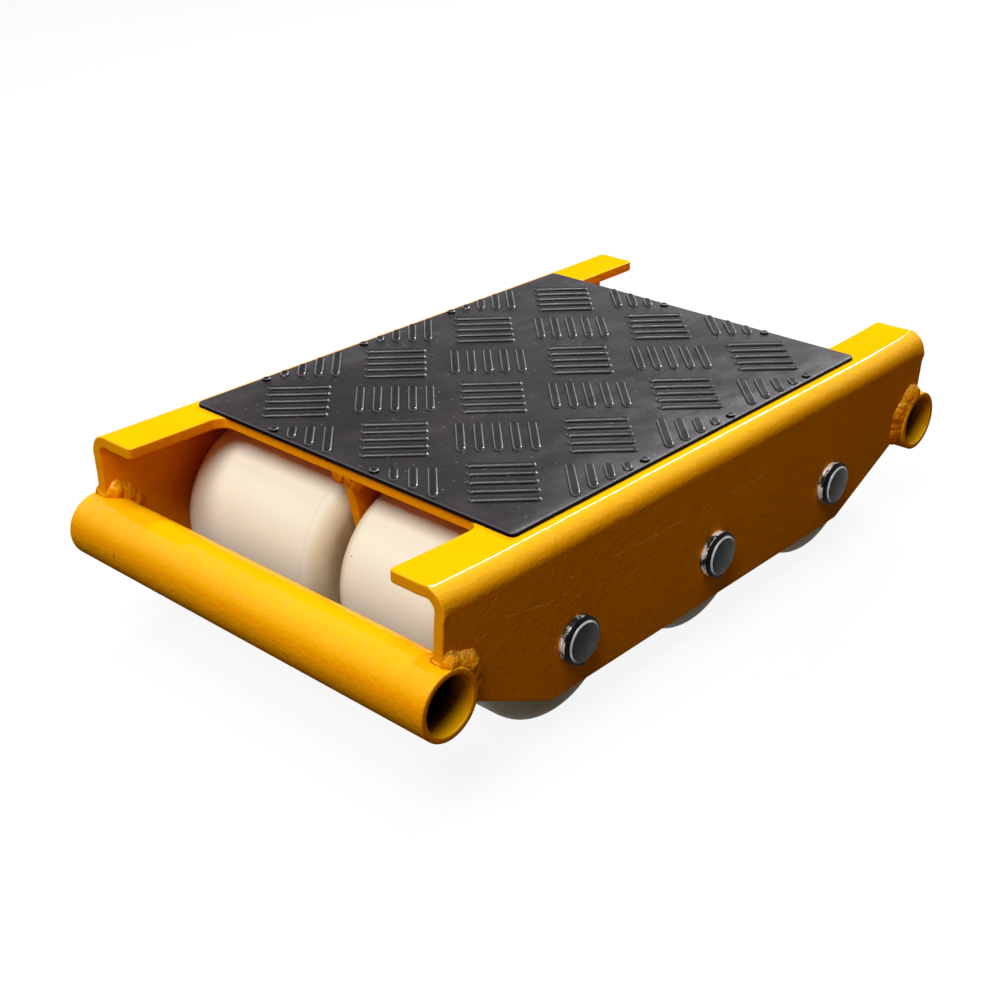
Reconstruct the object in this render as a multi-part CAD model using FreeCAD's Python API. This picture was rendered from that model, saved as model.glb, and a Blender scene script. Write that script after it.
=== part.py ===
import FreeCAD, Part
import math
import os

# Machine skate: a folded plate frame that rolls on six nylon rollers.
# X runs along the skate with the front at +X, +Y is the left side, +Z is up.
# The origin is on the floor under the middle of the skate. Sizes are in millimetres.

# Rollers
roller_diameter = 88.0
roller_width = 98.0
roller_shoulder_radius = 10.0
roller_gap = 14.0               # clear space between neighbouring rollers along the skate
roller_side_gap = 1.9           # clear space between a roller's end and the plate beside it
roller_top_gap = 6.5            # clear space between the rollers and the deck

# Ball bearings, two in each roller
bearing_outer_diameter = 47.0
bearing_width = 14.0
bearing_recess = 1.0            # depth of the bearing's face below the roller's end
bearing_shoulder = 3.0          # step in the roller that the outer ring sits against
ball_share = 0.5774             # ball diameter over the mean of the bearing's section and its width
ball_count = 8
race_clearance = 0.12           # between a ball and its raceways
raceway_depth = 1.369           # from a ring's shoulder to the bottom of a ball
cage_wall = 2.0
cage_ball_clearance = 0.2
cage_end_gap = 0.3              # between the cage and the seals
seal_thickness = 0.9
seal_inset = 0.4                # seal below the bearing's side face
seal_seat_depth = 1.0           # groove in the outer ring that holds the seal
seal_lip_gap = 0.2              # between the seal's lip and the inner ring
sleeve_wall = 3.0               # distance sleeve between the two inner rings
spacer_wall = 3.0               # spacer ring between an inner ring and the plate beside it

# Axles and what holds them
axle_diameter = 20.0
axle_hole_clearance = 0.1       # radial, in the plates
axle_ring_clearance = 0.05      # radial, in the rings and sleeves that sit on the axle
axle_chamfer = 0.7
axle_end_stub = 1.1             # axle beyond the circlip groove
washers_per_end = 2
washer_thickness = 1.6
washer_band = 1.0               # radial width of a washer
circlip_thickness = 1.2
circlip_side_gap = 0.1          # between the circlip and the groove's walls
circlip_band = 1.9              # radial width of the circlip
circlip_opening = 40.0          # degrees of the ring that are open
circlip_lug_radius = 1.5
circlip_lug_hole = 1.2
circlip_direction = 240.0       # degrees from +X towards +Z, where the ring is open
groove_depth = 0.7

# Folded frame
plate_thickness = 5.5
bend_radius = 9.0               # outside radius of the two long folds
ground_clearance = 17.6         # floor to the lower edges of the side plates
foot_reach = 13.4               # flat lower edge beyond the outer axles
hand_gap = 22.0                 # clear space between an end roller and its cross tube
ear_length = 53.0
ear_width = 27.2
ear_corner_radius = 2.5
notch_corner_radius = 7.0

# Cross tubes at both ends
tube_diameter = 32.0
tube_wall = 3.0
tube_overhang = 5.4             # tube beyond each side plate
tube_rise = 8.75                # tube axis above the axles
slope_contact_angle = 28.0      # degrees below the tube's axis, where the sloping lower edge meets it
tube_weld_leg = 5.0
tube_weld_end_gap = 0.8         # tube end left bare beside the bead
tube_weld_bulge = 0.6

# Centre web between the left and right rollers
web_thickness = 5.5
web_setback = 1.5               # web behind the deck's edge
web_slant = 13.0                # degrees that the end edges lean in
web_edge = 10.0                 # metal left below the axle holes
web_end_edge = 5.74             # metal left beside the end axle holes
web_weld_leg = 4.0
web_weld_end_gap = 0.5

# Rubber deck pad with a five-bar tread
pad_thickness = 2.2
pad_overhang = 1.0              # pad beyond the deck's front and rear edges
pad_corner_radius = 3.0
pad_edge_rounding = 0.6
tread_pitch = 66.0              # distance between groups whose bars run the same way
tread_bar_count = 5
tread_bar_pitch = 8.4
tread_bar_length = 31.5
tread_bar_width = 4.2
tread_bar_height = 1.0
tread_bar_rounding = 0.5
tread_edge_margin = 1.3         # bare strip along the pad's edge
tread_dot_reach = 5.5           # a bar cut by this much more than its length still leaves a dot

# Places that follow from the sizes above
roller_radius = roller_diameter / 2
axle_radius = axle_diameter / 2
tube_radius = tube_diameter / 2
axle_z = roller_radius
axle_pitch = roller_diameter + roller_gap
deck_underside = roller_diameter + roller_top_gap
deck_top = deck_underside + plate_thickness
roller_inner_y = web_thickness / 2 + roller_side_gap
roller_outer_y = roller_inner_y + roller_width
side_inner_y = roller_outer_y + roller_side_gap
side_outer_y = side_inner_y + plate_thickness
tube_x = axle_pitch + roller_radius + hand_gap + tube_radius
tube_z = axle_z + tube_rise
deck_half_length = tube_x - ear_length
notch_half_width = side_outer_y - ear_width
groove_width = circlip_thickness + 2 * circlip_side_gap
groove_radius = axle_radius - groove_depth
washers_outer_y = side_outer_y + washers_per_end * washer_thickness
axle_half_length = washers_outer_y + groove_width + axle_end_stub
bearing_seat_radius = bearing_outer_diameter / 2
bearing_section = bearing_seat_radius - axle_radius
ball_radius = ball_share * math.sqrt(bearing_section * bearing_width) / 2
land_height = ball_radius - raceway_depth
ball_circle_radius = (axle_radius + bearing_seat_radius) / 2
inner_land_radius = ball_circle_radius - land_height
outer_land_radius = ball_circle_radius + land_height
inner_ring_bore = axle_radius + axle_ring_clearance
seal_face = bearing_width / 2 - seal_inset
pad_top = deck_top + pad_thickness
pad_half_length = deck_half_length + pad_overhang
pad_half_width = side_outer_y - bend_radius

X_AXIS = FreeCAD.Vector(1, 0, 0)
Y_AXIS = FreeCAD.Vector(0, 1, 0)
Z_AXIS = FreeCAD.Vector(0, 0, 1)
QUARTER_TURN = 90.0
TOLERANCE = 0.001

AXLES = {"front": axle_pitch, "middle": 0.0, "rear": -axle_pitch}
SIDES = {"left": 1, "right": -1}
ENDS = {"front": 1, "rear": -1}


def point(x, y, z):
    return FreeCAD.Vector(x, y, z)


def disc_y(radius, y_low, y_high, x, z):
    """A solid cylinder along Y between two planes."""
    return Part.makeCylinder(radius, y_high - y_low, point(x, y_low, z), Y_AXIS)


def ring_y(outer_radius, inner_radius, y_low, y_high, x, z):
    """A flat-sided ring about an axis along Y."""
    outer = disc_y(outer_radius, y_low, y_high, x, z)
    return outer.cut(disc_y(inner_radius, y_low, y_high, x, z))


def prism(points, along):
    """A polygon extruded by a vector."""
    return Part.Face(Part.makePolygon(points + points[:1])).extrude(along)


def rounded_plate(half_x, half_y, z_low, z_high, radius):
    """A flat plate centred on the Z axis, with its four upright edges rounded."""
    corner = point(-half_x, -half_y, z_low)
    plate = Part.makeBox(2 * half_x, 2 * half_y, z_high - z_low, corner)
    upright = [edge for edge in plate.Edges if edge.BoundBox.ZLength > TOLERANCE]
    return plate.makeFillet(radius, upright)


def edges_at_height(shape, z):
    """The edges that lie wholly in one horizontal plane."""
    found = []
    for edge in shape.Edges:
        box = edge.BoundBox
        if abs(box.ZMin - z) < TOLERANCE and abs(box.ZMax - z) < TOLERANCE:
            found.append(edge)
    return found


def upright_edges_at(shape, x, y):
    """The vertical edges above one point of the floor."""
    found = []
    for edge in shape.Edges:
        box = edge.BoundBox
        slim = max(box.XLength, box.YLength) < TOLERANCE
        near = abs(box.XMin - x) < TOLERANCE and abs(box.YMin - y) < TOLERANCE
        if slim and near:
            found.append(edge)
    return found


def mirrored(shape, x_sign, y_sign):
    """The shape, turned over to the named end and side."""
    if x_sign < 0:
        shape = shape.mirror(point(0, 0, 0), X_AXIS)
    if y_sign < 0:
        shape = shape.mirror(point(0, 0, 0), Y_AXIS)
    return shape


def folded_blank():
    """The plate folded to an upside-down U, before its ends and edges are cut."""
    bend_y = side_outer_y - bend_radius
    bend_z = deck_top - bend_radius
    diagonal = math.sqrt(0.5)
    inner_bend = bend_radius - plate_thickness

    def bend(radius, side):
        middle = radius * diagonal
        foot = point(-tube_x, side * (bend_y + radius), bend_z)
        crest = point(-tube_x, side * bend_y, bend_z + radius)
        return Part.Arc(foot, point(-tube_x, side * (bend_y + middle), bend_z + middle), crest).toShape()

    def line(y_from, z_from, y_to, z_to):
        return Part.makeLine(point(-tube_x, y_from, z_from), point(-tube_x, y_to, z_to))

    edges = [line(-bend_y, deck_top, bend_y, deck_top)]
    edges.append(line(-bend_y, deck_underside, bend_y, deck_underside))
    for side in SIDES.values():
        edges.append(bend(bend_radius, side))
        edges.append(bend(inner_bend, side))
        edges.append(line(side * side_outer_y, bend_z, side * side_outer_y, ground_clearance))
        edges.append(line(side * side_inner_y, bend_z, side * side_inner_y, ground_clearance))
        edges.append(line(side * side_inner_y, ground_clearance, side * side_outer_y, ground_clearance))
    section = Part.Face(Part.Wire(Part.__sortEdges__(edges)))
    return section.extrude(point(2 * tube_x, 0, 0))


def side_outline():
    """The frame's shape seen from the side, with its sloping lower corners."""
    contact = math.radians(slope_contact_angle)
    contact_x = tube_x - tube_radius * math.cos(contact)
    contact_z = tube_z - tube_radius * math.sin(contact)
    foot_x = axle_pitch + foot_reach
    right_half = [(tube_x, deck_top), (tube_x, tube_z), (contact_x, contact_z), (foot_x, ground_clearance)]
    outline = [point(x, -side_outer_y, z) for x, z in right_half]
    outline += [point(-x, -side_outer_y, z) for x, z in reversed(right_half)]
    return prism(outline, point(0, 2 * side_outer_y, 0))


def end_notch(end):
    """The gap between the two ears at one end of the deck."""
    reach = 2 * ear_length
    notch = rounded_plate(reach / 2, notch_half_width, deck_underside, deck_top, notch_corner_radius)
    notch.translate(point(end * (deck_half_length + reach / 2), 0, 0))
    return notch


def axle_holes(y_low, y_high):
    radius = axle_radius + axle_hole_clearance
    return [disc_y(radius, y_low, y_high, x, axle_z) for x in AXLES.values()]


def deck_channel():
    frame = folded_blank().common(side_outline())
    cuts = axle_holes(-side_outer_y, side_outer_y)
    for end in ENDS.values():
        cuts.append(end_notch(end))
        cuts.append(disc_y(tube_radius, -side_outer_y, side_outer_y, end * tube_x, tube_z))
    frame = frame.cut(cuts)
    corners = []
    for end in ENDS.values():
        for side in SIDES.values():
            corners += upright_edges_at(frame, end * tube_x, side * notch_half_width)
    return frame.makeFillet(ear_corner_radius, corners)


def centre_web():
    hole_radius = axle_radius + axle_hole_clearance
    bottom_z = axle_z - hole_radius - web_edge
    middle_x = axle_pitch + hole_radius + web_end_edge
    bottom_x = middle_x - (axle_z - bottom_z) * math.tan(math.radians(web_slant))
    right_half = [(deck_half_length - web_setback, deck_underside), (middle_x, axle_z), (bottom_x, bottom_z)]
    outline = [point(x, -web_thickness / 2, z) for x, z in right_half]
    outline += [point(-x, -web_thickness / 2, z) for x, z in reversed(right_half)]
    web = prism(outline, point(0, web_thickness, 0))
    return web.cut(axle_holes(-web_thickness / 2, web_thickness / 2))


def web_welds():
    """A fillet bead along each side of the web's upper edge."""
    half_length = deck_half_length - web_setback - web_weld_end_gap
    leg_x = web_weld_leg * math.tan(math.radians(web_slant))
    beads = []
    for side in SIDES.values():
        root = point(-half_length + leg_x, side * web_thickness / 2, deck_underside)
        on_deck = root + point(0, side * web_weld_leg, 0)
        on_web = root - point(0, 0, web_weld_leg)
        beads.append(prism([root, on_deck, on_web], point(2 * (half_length - leg_x), 0, 0)))
    return beads


def cross_tube(end):
    half_length = side_outer_y + tube_overhang
    return ring_y(tube_radius, tube_radius - tube_wall, -half_length, half_length, end * tube_x, tube_z)


def tube_weld(y, direction, length):
    """A bead round the front tube, from its top down to the end of the left plate's scoop."""
    corner = point(tube_x + tube_radius, y, tube_z)
    on_plate = corner + point(tube_weld_leg, 0, 0)
    on_tube = corner + point(0, direction * length, 0)
    crown = (on_plate + on_tube) * 0.5 + point(tube_weld_bulge, direction * tube_weld_bulge, 0)
    edges = [Part.makeLine(corner, on_plate)]
    edges.append(Part.Arc(on_plate, crown, on_tube).toShape())
    edges.append(Part.makeLine(on_tube, corner))
    section = Part.Face(Part.Wire(edges))
    tube_axis = point(tube_x, 0, tube_z)
    section.rotate(tube_axis, -Y_AXIS, QUARTER_TURN)
    return section.revolve(tube_axis, -Y_AXIS, QUARTER_TURN + slope_contact_angle)


def tube_welds(end):
    outer_bead = tube_weld(side_outer_y, 1, tube_overhang - tube_weld_end_gap)
    inner_bead = tube_weld(side_inner_y, -1, tube_weld_leg)
    beads = []
    for side in SIDES.values():
        beads.append(mirrored(outer_bead, end, side))
        beads.append(mirrored(inner_bead, end, side))
    return beads


def tread_bar(start, end):
    """One raised bar with round ends between two points, with its foot sunk in the pad."""
    radius = tread_bar_width / 2
    height = tread_bar_height + pad_thickness / 2
    run = end - start
    if run.Length < TOLERANCE:
        bar = Part.makeCylinder(radius, height, start)
    else:
        forward = run * (radius / run.Length)
        across = Z_AXIS.cross(forward)
        edges = [Part.makeLine(start - across, end - across)]
        edges.append(Part.Arc(end - across, end + forward, end + across).toShape())
        edges.append(Part.makeLine(end + across, start + across))
        edges.append(Part.Arc(start + across, start - forward, start - across).toShape())
        bar = Part.Face(Part.Wire(edges)).extrude(Z_AXIS * height)
    return bar.makeFillet(tread_bar_rounding, edges_at_height(bar, start.z + height))


def bar_span(centre, direction):
    """Where a bar's centre line starts and stops, kept inside the pad's bare margin."""
    half_length = (tread_bar_length - tread_bar_width) / 2
    margin = tread_edge_margin + tread_bar_width / 2
    start = -half_length
    stop = half_length
    for middle, step, limit in ((centre.x, direction.x, pad_half_length - margin),
                                (centre.y, direction.y, pad_half_width - margin)):
        crossings = sorted(((-limit - middle) / step, (limit - middle) / step))
        start = max(start, crossings[0])
        stop = min(stop, crossings[1])
    beyond = start - stop
    if 0 < beyond < tread_dot_reach:
        dot = stop if stop < -half_length else start
        return dot, dot
    return start, stop


def tread_group(x, y, turn):
    """Parallel bars at 45 degrees, cut back where they would pass the pad's margin."""
    direction = point(turn, 1, 0).normalize()
    across = point(1, -turn, 0).normalize()
    foot = point(x, y, pad_top - pad_thickness / 2)
    bars = []
    for index in range(tread_bar_count):
        centre = foot + across * ((index - (tread_bar_count - 1) / 2) * tread_bar_pitch)
        start, stop = bar_span(centre, direction)
        if start <= stop:
            bars.append(tread_bar(centre + direction * start, centre + direction * stop))
    return bars


def rubber_pad():
    base = rounded_plate(pad_half_length, pad_half_width, deck_top, pad_top, pad_corner_radius)
    base = base.makeFillet(pad_edge_rounding, edges_at_height(base, pad_top))
    columns = round(2 * pad_half_length / tread_pitch)
    rows = round(2 * pad_half_width / tread_pitch)
    bars = []
    for column in range(columns):
        for row in range(rows):
            x = (column - (columns - 1) / 2) * tread_pitch
            y = (row - (rows - 1) / 2) * tread_pitch
            bars += tread_group(x, y, -1)
    for column in range(columns + 1):
        for row in range(rows + 1):
            at_corner = column in (0, columns) and row in (0, rows)
            if not at_corner:
                x = (column - columns / 2) * tread_pitch
                y = (row - rows / 2) * tread_pitch
                bars += tread_group(x, y, 1)
    return base.fuse(bars).removeSplitter()


def axle(x):
    shaft = disc_y(axle_radius, -axle_half_length, axle_half_length, x, axle_z)
    rims = [edge for edge in shaft.Edges if edge.BoundBox.YLength < TOLERANCE]
    shaft = shaft.makeChamfer(axle_chamfer, rims)
    groove = ring_y(axle_diameter, groove_radius, washers_outer_y, washers_outer_y + groove_width, x, axle_z)
    return shaft.cut([mirrored(groove, 1, side) for side in SIDES.values()])


def axle_washers(x, side):
    """The washers that lie between a side plate and the circlip at one end of an axle."""
    inner = axle_radius + axle_hole_clearance
    washers = []
    for index in range(washers_per_end):
        low = side_outer_y + index * washer_thickness
        washers.append(ring_y(inner + washer_band, inner, low, low + washer_thickness, x, axle_z))
    return [mirrored(washer, 1, side) for washer in washers]


def circlip(x, side):
    """A spring ring with an opening between two drilled lugs."""
    inner = groove_radius + axle_ring_clearance
    outer = inner + circlip_band
    low = washers_outer_y + circlip_side_gap
    high = low + circlip_thickness
    ring = ring_y(outer, inner, low, high, x, axle_z)
    centre = point(x, low, axle_z)
    half_opening = math.radians(circlip_opening / 2)
    middle = math.radians(circlip_direction)
    wedge = [centre]
    for angle in (middle - half_opening, middle + half_opening):
        wedge.append(centre + point(math.cos(angle), 0, math.sin(angle)) * 2 * outer)
    ring = ring.cut(prism(wedge, point(0, circlip_thickness, 0)))
    lug_circle = inner + circlip_lug_radius
    lug_turn = half_opening + circlip_lug_radius / lug_circle
    lugs = []
    holes = []
    for angle in (middle - lug_turn, middle + lug_turn):
        lug_x = x + lug_circle * math.cos(angle)
        lug_z = axle_z + lug_circle * math.sin(angle)
        lugs.append(disc_y(circlip_lug_radius, low, high, lug_x, lug_z))
        holes.append(disc_y(circlip_lug_hole / 2, low, high, lug_x, lug_z))
    return mirrored(ring.fuse(lugs).cut(holes).removeSplitter(), 1, side)


def bearing_centres(side):
    """The middle planes of the two bearings in one roller."""
    inset = bearing_recess + bearing_width / 2
    return [side * (roller_inner_y + inset), side * (roller_outer_y - inset)]


def nylon_roller(x, side):
    low, high = sorted((side * roller_inner_y, side * roller_outer_y))
    body = disc_y(roller_radius, low, high, x, axle_z)
    rims = [edge for edge in body.Edges if edge.BoundBox.YLength < TOLERANCE]
    body = body.makeFillet(roller_shoulder_radius, rims)
    seat_depth = bearing_recess + bearing_width
    cuts = [disc_y(bearing_seat_radius - bearing_shoulder, low, high, x, axle_z)]
    cuts.append(disc_y(bearing_seat_radius, low, low + seat_depth, x, axle_z))
    cuts.append(disc_y(bearing_seat_radius, high - seat_depth, high, x, axle_z))
    return body.cut(cuts)


def raceway(x, y):
    return Part.makeTorus(ball_circle_radius, ball_radius + race_clearance, point(x, y, axle_z), Y_AXIS)


def outer_ring(x, y):
    half = bearing_width / 2
    ring = ring_y(bearing_seat_radius, outer_land_radius, y - half, y + half, x, axle_z)
    seat = outer_land_radius + seal_seat_depth
    cuts = [raceway(x, y)]
    cuts.append(disc_y(seat, y - half, y - seal_face + seal_thickness, x, axle_z))
    cuts.append(disc_y(seat, y + seal_face - seal_thickness, y + half, x, axle_z))
    return ring.cut(cuts)


def inner_ring(x, y):
    half = bearing_width / 2
    ring = ring_y(inner_land_radius, inner_ring_bore, y - half, y + half, x, axle_z)
    return ring.cut(raceway(x, y))


def bearing_seals(x, y):
    outer = outer_land_radius + seal_seat_depth
    inner = inner_land_radius + seal_lip_gap
    near = ring_y(outer, inner, y - seal_face, y - seal_face + seal_thickness, x, axle_z)
    far = ring_y(outer, inner, y + seal_face - seal_thickness, y + seal_face, x, axle_z)
    return [near, far]


def ball_centres(x, y):
    centres = []
    for index in range(ball_count):
        angle = 2 * math.pi * index / ball_count
        ball_x = x + ball_circle_radius * math.cos(angle)
        ball_z = axle_z + ball_circle_radius * math.sin(angle)
        centres.append(point(ball_x, y, ball_z))
    return centres


def bearing_balls(x, y):
    return [Part.makeSphere(ball_radius, centre) for centre in ball_centres(x, y)]


def bearing_cage(x, y):
    half = seal_face - seal_thickness - cage_end_gap
    outer = ball_circle_radius + cage_wall / 2
    inner = ball_circle_radius - cage_wall / 2
    cage = ring_y(outer, inner, y - half, y + half, x, axle_z)
    pocket = ball_radius + cage_ball_clearance
    pockets = []
    for centre in ball_centres(x, y):
        outward = (centre - point(x, y, axle_z)).normalize() * cage_wall
        pockets.append(Part.makeCylinder(pocket, 2 * cage_wall, centre - outward, outward))
    return cage.cut(pockets)


def bearing_sleeve(x, side):
    half = bearing_width / 2
    low, high = sorted(bearing_centres(side))
    outer = inner_ring_bore + sleeve_wall
    return ring_y(outer, inner_ring_bore, low + half, high - half, x, axle_z)


def roller_spacers(x, side):
    """The two rings that keep a roller's bearings clear of the web and the side plate."""
    thickness = roller_side_gap + bearing_recess
    outer = inner_ring_bore + spacer_wall
    near_web = ring_y(outer, inner_ring_bore, web_thickness / 2, web_thickness / 2 + thickness, x, axle_z)
    near_side = ring_y(outer, inner_ring_bore, side_inner_y - thickness, side_inner_y, x, axle_z)
    return [mirrored(near_web, 1, side), mirrored(near_side, 1, side)]


def frame_nodes():
    nodes = {"deck_channel": [deck_channel()], "centre_web": [centre_web()], "web_welds": web_welds()}
    for name, end in ENDS.items():
        nodes[name + "_tube"] = [cross_tube(end)]
        nodes[name + "_tube_welds"] = tube_welds(end)
    nodes["rubber_pad"] = [rubber_pad()]
    return nodes


def axle_nodes():
    nodes = {name + "_axle": [axle(x)] for name, x in AXLES.items()}
    corners = [(x, side) for x in AXLES.values() for side in SIDES.values()]
    nodes["axle_washers"] = [washer for x, side in corners for washer in axle_washers(x, side)]
    nodes["axle_circlips"] = [circlip(x, side) for x, side in corners]
    nodes["roller_spacers"] = [ring for x, side in corners for ring in roller_spacers(x, side)]
    return nodes


def roller_nodes(name, x, side):
    """One roller with its two ball bearings and the sleeve between them."""
    middles = bearing_centres(side)
    nodes = {name + "_roller": [nylon_roller(x, side)]}
    nodes[name + "_outer_rings"] = [outer_ring(x, y) for y in middles]
    nodes[name + "_inner_rings"] = [inner_ring(x, y) for y in middles]
    nodes[name + "_seals"] = [seal for y in middles for seal in bearing_seals(x, y)]
    nodes[name + "_balls"] = [ball for y in middles for ball in bearing_balls(x, y)]
    nodes[name + "_cages"] = [bearing_cage(x, y) for y in middles]
    nodes[name + "_sleeve"] = [bearing_sleeve(x, side)]
    return nodes


def main():
    nodes = frame_nodes()
    nodes.update(axle_nodes())
    for axle_name, x in AXLES.items():
        for side_name, side in SIDES.items():
            nodes.update(roller_nodes(axle_name + "_" + side_name, x, side))
    os.makedirs("parts", exist_ok=True)
    for name, solids in nodes.items():
        shape = solids[0] if len(solids) == 1 else Part.makeCompound(solids)
        shape.exportStep("parts/" + name + ".step")
    print(len(nodes), "nodes written")


main()
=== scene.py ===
import math

import bmesh
import bpy
from mathutils import Matrix, Vector, noise


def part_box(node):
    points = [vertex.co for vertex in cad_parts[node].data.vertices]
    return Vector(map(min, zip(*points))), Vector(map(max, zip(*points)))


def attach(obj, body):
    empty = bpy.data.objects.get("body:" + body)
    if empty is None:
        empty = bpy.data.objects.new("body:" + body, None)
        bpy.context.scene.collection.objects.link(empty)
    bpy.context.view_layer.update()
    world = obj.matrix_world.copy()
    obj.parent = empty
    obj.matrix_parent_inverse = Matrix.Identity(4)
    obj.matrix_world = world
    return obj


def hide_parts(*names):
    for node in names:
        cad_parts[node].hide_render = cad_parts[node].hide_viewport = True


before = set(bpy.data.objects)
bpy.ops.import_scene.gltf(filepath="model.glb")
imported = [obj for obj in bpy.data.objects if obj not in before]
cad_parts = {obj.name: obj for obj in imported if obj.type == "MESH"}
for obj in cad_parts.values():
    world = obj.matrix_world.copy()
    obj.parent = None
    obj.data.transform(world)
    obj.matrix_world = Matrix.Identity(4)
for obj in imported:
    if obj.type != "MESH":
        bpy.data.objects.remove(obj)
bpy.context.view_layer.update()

MM = 0.001
TINY = 1e-6
QUARTER = math.pi / 2
LARGE_ROUND = 96                 # steps once round a tube or a roller
SMALL_ROUND = 64                 # steps once round a shaft or a washer

# Places and sizes read from the frame, in metres
channel_low, channel_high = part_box("deck_channel")
web_low, web_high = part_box("centre_web")
pad_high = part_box("rubber_pad")[1]
tube_low, tube_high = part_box("front_tube")
shaft_low, shaft_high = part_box("middle_axle")
washers_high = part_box("axle_washers")[1]
roller_low, roller_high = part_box("front_left_roller")
deck_top = channel_high.z
side_outer = channel_high.y
side_bottom = channel_low.z
tube_x = (tube_low.x + tube_high.x) / 2
tube_z = (tube_low.z + tube_high.z) / 2
tube_radius = (tube_high.z - tube_low.z) / 2
tube_top = tube_z + tube_radius
tube_half_length = tube_high.y
shaft_radius = (shaft_high.z - shaft_low.z) / 2
shaft_half_length = shaft_high.y
shaft_z = (shaft_low.z + shaft_high.z) / 2
web_half = web_high.y
AXLES = {}
for axle_name in ("front", "middle", "rear"):
    axle_low, axle_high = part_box(axle_name + "_axle")
    AXLES[axle_name] = (axle_low.x + axle_high.x) / 2
SIDES = {"left": 1, "right": -1}
ENDS = {"front": 1, "rear": -1}

# Folded sheet
plate = 5.5 * MM
plate_edge_radius = 0.8 * MM
plate_middle = side_outer - plate / 2
bend_radius = 9.3 * MM
bend_steps = 12
lean = math.radians(3)           # the sides are bent a little past square and close in downwards
deck_overlap = 1.0 * MM          # rubber beyond the deck's front and rear edges
deck_half_length = pad_high.x - deck_overlap
ear_length = tube_x - deck_half_length
ear_width = 27.2 * MM
ear_radius = 2.5 * MM
ear_lift = {"left": 1.3 * MM, "right": 0.3 * MM}     # how far the ears' tips were pulled up by the welding
ear_rows = 4
first_row = 0.1                  # part of a row between the deck's edge and the first line across an ear
rear_left_extra = 2.5 * MM       # this ear was sawn a little longer
notch_half = side_outer - ear_width
notch_radius = 7.0 * MM
foot_x = AXLES["front"] + 13.4 * MM
slope_contact = math.radians(28)
shaft_clearance = 0.1 * MM
hole_radius = shaft_radius + shaft_clearance
hole_steps = 32
saw_strip = 4.0 * MM             # the saw's marks fade over this length
saw_step = 2.0 * MM
saw_marks = 0.25 * MM
marks_along = 40                 # how fast the saw's marks change, per metre
marks_across = 190
bend_burr = {"left": 0.7 * MM, "right": 0.15 * MM}    # ridge left by the press at the bent ends
low_burr_spread = 2.2 * MM
top_burr_spread = 2.5 * MM
top_burr_share = 0.6
bend_turn = QUARTER + lean
bend_length = bend_radius * bend_turn
flat_top = deck_top - bend_radius * (1 - math.cos(bend_turn))    # where the flat of a side plate begins
bend_start = side_outer + (flat_top - shaft_z) * math.tan(lean) - bend_radius * math.sin(bend_turn)
bend_end = bend_start + bend_length

# Web under the deck
web_slant = math.radians(13)
web_edge_radius = 0.7 * MM
web_bead_leg = 4.4 * MM
web_bead_overhang = 1.3 * MM
web_bead_steps = 200
web_bead_taper = 60
web_bead_least = 0.3
end_lump = 0.9                   # how much a weld swells at the web's ends
end_lump_spread = 5 * MM

# Marks of use on the left side plate, as places along X and heights
plate_scratches = [((-8 * MM, 72.5 * MM), (-37 * MM, 72.2 * MM)),
                   ((-12 * MM, 71.3 * MM), (-33 * MM, 71.1 * MM)),
                   ((80 * MM, 75.0 * MM), (16 * MM, 72.2 * MM)),
                   ((76 * MM, 73.8 * MM), (48 * MM, 72.6 * MM)),
                   ((149 * MM, 75.4 * MM), (115 * MM, 69.0 * MM)),
                   ((167 * MM, 71.3 * MM), (159 * MM, 72.6 * MM))]
plate_dings = [(107.7 * MM, 76.4 * MM), (111.1 * MM, 69.8 * MM),
               (101.9 * MM, 65.0 * MM), (12.8 * MM, 72.7 * MM)]
scratch_width = 0.38 * MM
ding_width = 0.7 * MM

# Tubes and their weld beads
tube_wall = 3.0 * MM
tube_rim_radius = 0.8 * MM
bore_rim_radius = 0.6 * MM
paint_depths = [0.0, 4.0 * MM, 9.0 * MM, 15.0 * MM]     # how the paint thins out inside a tube's bore, where painted shade also darkens it
bead_on_tube = 4.0 * MM
bead_on_plate = 6.4 * MM
bead_root = 1.2 * MM             # bead sunk below the tube and the plate
bead_crown = 0.24
toe_power = 2.2                  # how flat the bead's edges run out
toe_sink = 0.15 * MM
bead_reach = math.radians(126)   # how far a weld runs round a tube from the tube's top
bead_steps_on_tube = 110
bead_steps_round_end = 36
bead_taper = 8
bead_least = 0.02
thin_share = 0.76                # how much thinner a weld is where it passes the plate's end
thin_place = 1.2 * MM
thin_reach = 5.2 * MM
inside_run = 20.0 * MM           # beyond this a weld is only a thin line on the inside of a side plate
inside_share = 0.25
inside_fade = 4 * MM
bead_straight = bead_reach * tube_radius
bead_length = 2 * bead_straight + math.pi * plate / 2

# How the welds swell along their run
least_swell = 0.86
drift_rate = 90                  # per metre
drift_between_welds = 3.3
weld_waves = [(12.5 * MM, 0.37, 0.35, 0.5, 0.22),     # length, shift, drift, power and swell of the puddles
              (2.4 * MM, 0.61, 0.5, 1, 0.02)]         # the same of the ripples
weld_lumps = [(100, 0.32), (290, 0.15), (800, 0.05)]  # rate per metre and swell of the lumps
lumps_between_welds = 0.71
bead_seeds = {"front": (5, 8), "rear": (11, 14)}      # no two welds swell alike, left and right

# Axles and what holds them
groove_depth = 0.7 * MM
groove_width = 1.4 * MM
shaft_chamfer = 1.0 * MM
lit_ahead, lit_above = 0.6, 0.8     # the side of an axle's chamfer that is painted bright, where light falls on it
washers_per_end = 2
washer_edge_radius = 0.4 * MM
circlip_edge_radius = 0.18 * MM

# Rollers
roller_shoulder = 10.4 * MM      # the ends are turned down a little before they round off
roller_lip = 0.15 * MM
roller_end_radius = 10.0 * MM
roller_bore = 20.5 * MM
bearing_seat = 23.5 * MM
bearing_seat_depth = 15.0 * MM
bearing_seat_edge = 0.6 * MM

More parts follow.
